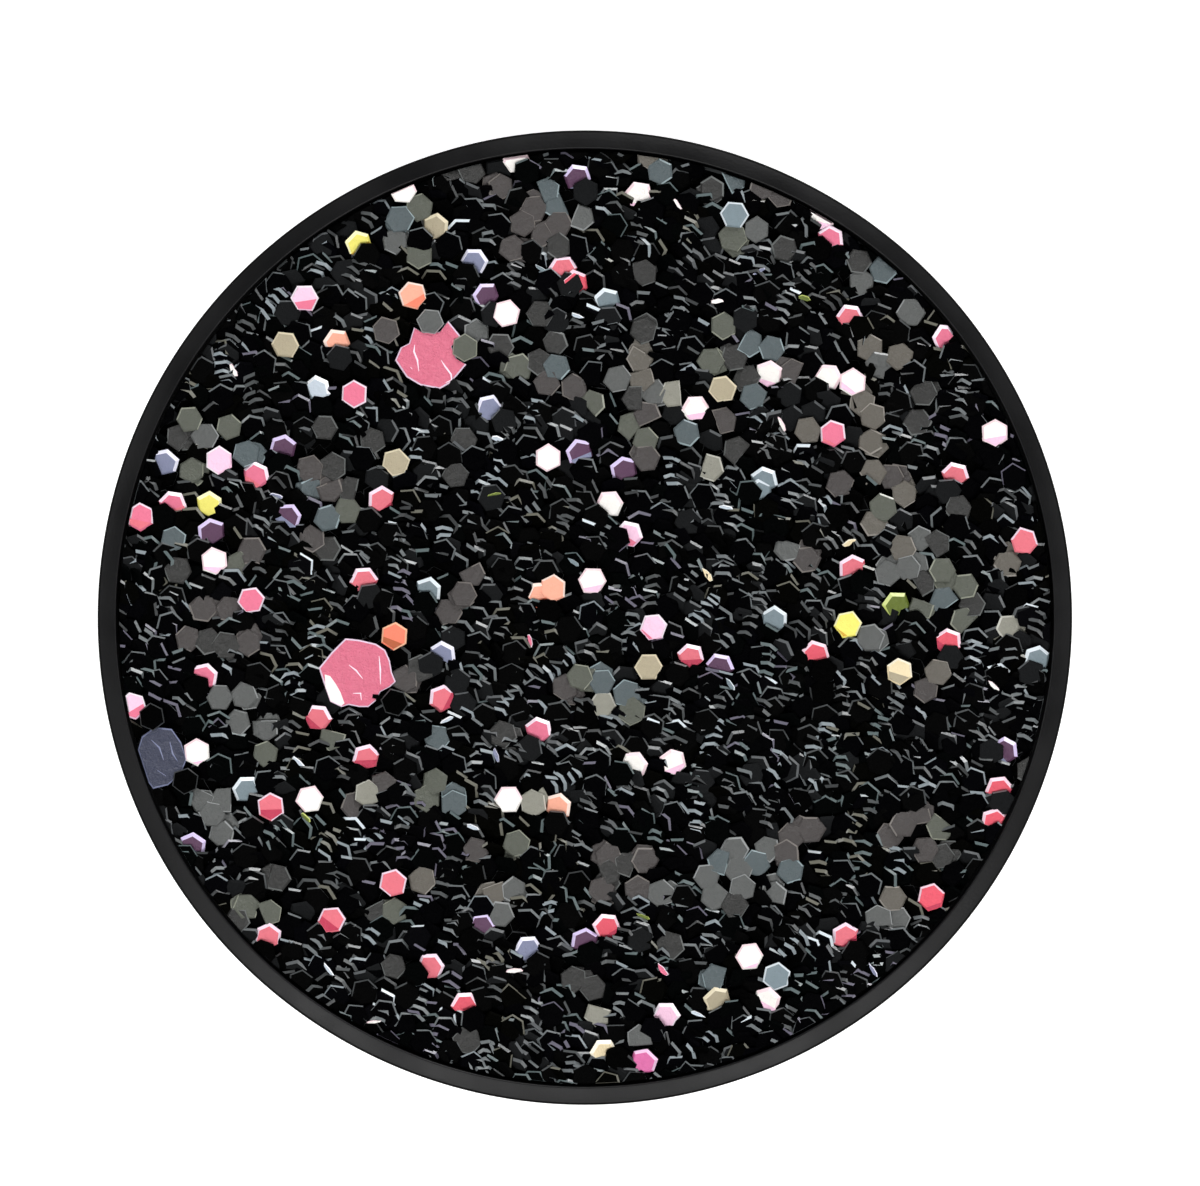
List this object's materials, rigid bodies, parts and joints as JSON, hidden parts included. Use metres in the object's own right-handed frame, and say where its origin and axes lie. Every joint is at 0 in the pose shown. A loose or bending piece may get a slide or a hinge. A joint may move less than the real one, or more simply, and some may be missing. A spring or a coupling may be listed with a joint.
{
  "type": "collapsible phone grip",
  "caption": "Round black stick-on phone grip with a folding bellows and a quarter-turn top set with chunky glitter, standing open.",
  "frame": {"origin": "centre of the adhesive's face, where the grip meets the phone", "axes": "+Z from the phone out through the grip's top, +Y up across the glitter face, +X to its right"},
  "size_m": [0.0398, 0.0398, 0.0226],
  "materials": {
    "adhesive_foam": "tacky grey-black adhesive foam",
    "base_plastic": "satin black moulded plastic",
    "ring_plastic": "satin black moulded plastic",
    "bellows_rubber": "matte black flexible plastic",
    "socket_plastic": "satin black moulded plastic",
    "top_plastic": "matte black moulded plastic",
    "bond_film": "clear double-sided film",
    "backing_sheet": "black backing sheet",
    "glitter": "tilted black hexagon flakes with pink, coral, gold and lavender glints"
  },
  "bodies": {
    "base": {"adhesive_pad": "adhesive_foam", "base_plate": "base_plastic", "retaining_ring": "ring_plastic"},
    "turntable": {"bellows_lower_wall": "bellows_rubber", "bellows_lower_web": "bellows_rubber"},
    "middle": {"bellows_middle_wall": "bellows_rubber", "bellows_upper_web": "bellows_rubber"},
    "head": {"bellows_upper_wall": "bellows_rubber", "lock_socket": "socket_plastic"},
    "top": {"top_platform": "top_plastic", "insert_bond_film": "bond_film", "glitter_backing": "backing_sheet", "glitter_layer": "glitter"}
  },
  "joints": [
    {"name": "swivel", "type": "hinge", "parent": "base", "child": "turntable", "pos_m": [0, 0, 0.0018], "axis": [0, 0, 1], "continuous": true},
    {"name": "lower_stage", "type": "slide", "parent": "turntable", "child": "middle", "axis": [0, 0, 1], "range_m": [-0.008, 0], "deforming": ["bellows_lower_web"]},
    {"name": "upper_stage", "type": "slide", "parent": "middle", "child": "head", "axis": [0, 0, 1], "range_m": [-0.008, 0], "deforming": ["bellows_upper_web"]},
    {"name": "top_twist", "type": "hinge", "parent": "head", "child": "top", "pos_m": [0, 0, 0.0208], "axis": [0, 0, 1], "range_deg": [0, 90]}
  ]
}
